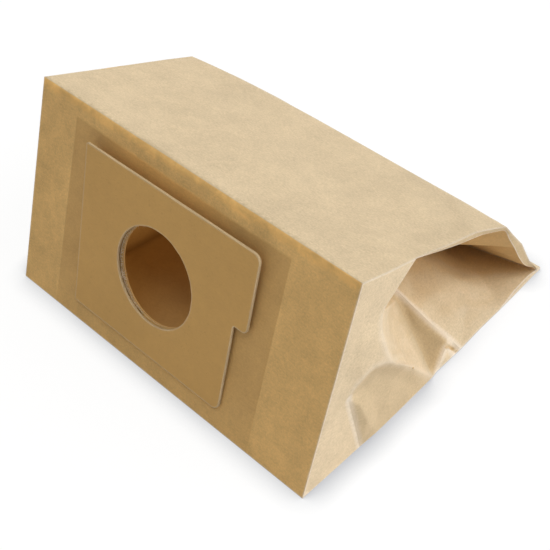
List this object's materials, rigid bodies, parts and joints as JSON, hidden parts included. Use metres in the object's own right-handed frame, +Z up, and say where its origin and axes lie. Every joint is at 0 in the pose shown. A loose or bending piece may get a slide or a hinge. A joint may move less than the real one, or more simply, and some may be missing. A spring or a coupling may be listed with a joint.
{
  "type": "vacuum dust bag",
  "caption": "Paper vacuum cleaner dust bag with side gussets, a glued flat end and a stepped card collar round its inlet hole.",
  "frame": {"origin": "on the surface it rests on, under the middle of the bag", "axes": "+X across the bag to the side with the collar's step, -Y the way the block bottom and its collar face, +Z up"},
  "size_m": [0.24, 0.208, 0.1252],
  "materials": {
    "kraft_outer": "two-ply brown kraft paper, matt, with fine fibres, fold lines and soft crumples",
    "card": "smooth brown card, matt, with pale cut edges",
    "kraft_inner": "brown kraft paper, matt"
  },
  "bodies": {
    "root": {"bag_body": "kraft_outer", "collar_plate": "card", "inner_patch": "kraft_inner"}
  },
  "joints": []
}
